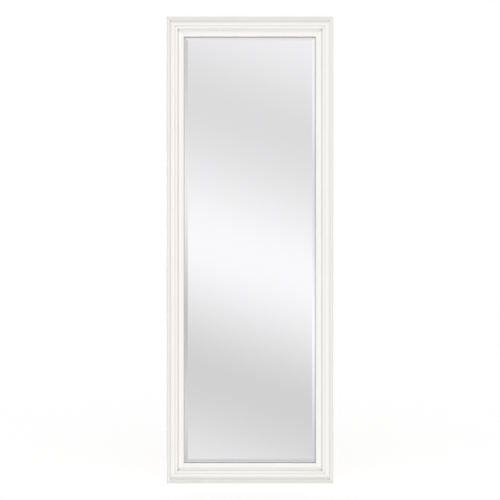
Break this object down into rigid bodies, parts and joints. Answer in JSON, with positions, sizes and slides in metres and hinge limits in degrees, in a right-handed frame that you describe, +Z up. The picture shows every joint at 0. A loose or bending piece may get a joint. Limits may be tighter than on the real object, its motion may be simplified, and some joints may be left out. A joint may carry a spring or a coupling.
{
  "type": "floor mirror",
  "caption": "Full-length floor mirror in a stepped white frame with bevelled glass, to lean on a wall or hang upright or sideways.",
  "frame": {"origin": "on the floor under the mirror, at the middle of its width and of its depth", "axes": "+Z up, +X to the right of someone who looks into the mirror, -Y the way the mirror faces"},
  "size_m": [0.568, 0.0364, 1.592],
  "materials": {
    "white_lacquer": "satin",
    "mirror_glass": "polished",
    "hardboard": "satin",
    "grey_board": "matte",
    "felt": "matte",
    "zinc_steel": "satin",
    "screw_steel": "satin",
    "nickel_steel": "gloss",
    "rubber": "matte",
    "pale_rubber": "matte"
  },
  "bodies": {
    "frame": {"top_rail": "white_lacquer", "bottom_rail": "white_lacquer", "left_stile": "white_lacquer", "right_stile": "white_lacquer", "mitre_nails": "zinc_steel", "mirror_glass": "mirror_glass", "felt_strip_top": "felt", "felt_strip_bottom": "felt", "felt_strip_left": "felt", "felt_strip_right": "felt", "setting_blocks": "rubber", "cushion_sheet": "grey_board", "backing_board": "hardboard", "turn_button_screws": "screw_steel", "corner_plate_top_left": "zinc_steel", "corner_plate_top_right": "zinc_steel", "corner_plate_bottom_left": "zinc_steel", "corner_plate_bottom_right": "zinc_steel", "corner_plate_screws": "screw_steel", "hanger_strap_upright_left": "nickel_steel", "hanger_strap_upright_right": "nickel_steel", "hanger_strap_sideways_top": "nickel_steel", "hanger_strap_sideways_bottom": "nickel_steel", "hanger_screws": "screw_steel", "wall_bumper_top_left": "rubber", "wall_bumper_top_right": "rubber", "wall_bumper_bottom_left": "rubber", "wall_bumper_bottom_right": "rubber", "floor_pad_left": "pale_rubber", "floor_pad_right": "pale_rubber"},
    "turn_button_left_1": {"turn_button_left_1": "zinc_steel"},
    "turn_button_left_2": {"turn_button_left_2": "zinc_steel"},
    "turn_button_left_3": {"turn_button_left_3": "zinc_steel"},
    "turn_button_left_4": {"turn_button_left_4": "zinc_steel"},
    "turn_button_right_1": {"turn_button_right_1": "zinc_steel"},
    "turn_button_right_2": {"turn_button_right_2": "zinc_steel"},
    "turn_button_right_3": {"turn_button_right_3": "zinc_steel"},
    "turn_button_right_4": {"turn_button_right_4": "zinc_steel"},
    "turn_button_top": {"turn_button_top": "zinc_steel"},
    "turn_button_bottom": {"turn_button_bottom": "zinc_steel"},
    "hanger_ring_upright_left": {"hanger_ring_upright_left": "nickel_steel"},
    "hanger_ring_upright_right": {"hanger_ring_upright_right": "nickel_steel"},
    "hanger_ring_sideways_top": {"hanger_ring_sideways_top": "nickel_steel"},
    "hanger_ring_sideways_bottom": {"hanger_ring_sideways_bottom": "nickel_steel"}
  },
  "joints": [
    {"name": "turn_button_left_1_spin", "type": "hinge", "parent": "frame", "child": "turn_button_left_1", "pos_m": [-0.2405, 0.01255, 1.397], "axis": [0, 1, 0], "continuous": true},
    {"name": "turn_button_left_2_spin", "type": "hinge", "parent": "frame", "child": "turn_button_left_2", "pos_m": [-0.2405, 0.01255, 0.997], "axis": [0, 1, 0], "continuous": true},
    {"name": "turn_button_left_3_spin", "type": "hinge", "parent": "frame", "child": "turn_button_left_3", "pos_m": [-0.2405, 0.01255, 0.597], "axis": [0, 1, 0], "continuous": true},
    {"name": "turn_button_left_4_spin", "type": "hinge", "parent": "frame", "child": "turn_button_left_4", "pos_m": [-0.2405, 0.01255, 0.197], "axis": [0, 1, 0], "continuous": true},
    {"name": "turn_button_right_1_spin", "type": "hinge", "parent": "frame", "child": "turn_button_right_1", "pos_m": [0.2405, 0.01255, 1.397], "axis": [0, 1, 0], "continuous": true},
    {"name": "turn_button_right_2_spin", "type": "hinge", "parent": "frame", "child": "turn_button_right_2", "pos_m": [0.2405, 0.01255, 0.997], "axis": [0, 1, 0], "continuous": true},
    {"name": "turn_button_right_3_spin", "type": "hinge", "parent": "frame", "child": "turn_button_right_3", "pos_m": [0.2405, 0.01255, 0.597], "axis": [0, 1, 0], "continuous": true},
    {"name": "turn_button_right_4_spin", "type": "hinge", "parent": "frame", "child": "turn_button_right_4", "pos_m": [0.2405, 0.01255, 0.197], "axis": [0, 1, 0], "continuous": true},
    {"name": "turn_button_top_spin", "type": "hinge", "parent": "frame", "child": "turn_button_top", "pos_m": [0, 0.01255, 1.539], "axis": [0, 1, 0], "continuous": true},
    {"name": "turn_button_bottom_spin", "type": "hinge", "parent": "frame", "child": "turn_button_bottom", "pos_m": [0, 0.01255, 0.055], "axis": [0, 1, 0], "continuous": true},
    {"name": "hanger_ring_upright_left_swing", "type": "hinge", "parent": "frame", "child": "hanger_ring_upright_left", "pos_m": [-0.258, 0.0147, 1.192], "axis": [1, 0, 0], "range_deg": [0, 180]},
    {"name": "hanger_ring_upright_right_swing", "type": "hinge", "parent": "frame", "child": "hanger_ring_upright_right", "pos_m": [0.258, 0.0147, 1.192], "axis": [1, 0, 0], "range_deg": [0, 180]},
    {"name": "hanger_ring_sideways_top_swing", "type": "hinge", "parent": "frame", "child": "hanger_ring_sideways_top", "pos_m": [0.134, 0.0147, 1.566], "axis": [0, 0, -1], "range_deg": [0, 180]},
    {"name": "hanger_ring_sideways_bottom_swing", "type": "hinge", "parent": "frame", "child": "hanger_ring_sideways_bottom", "pos_m": [0.134, 0.0147, 0.028], "axis": [0, 0, -1], "range_deg": [0, 180]}
  ]
}
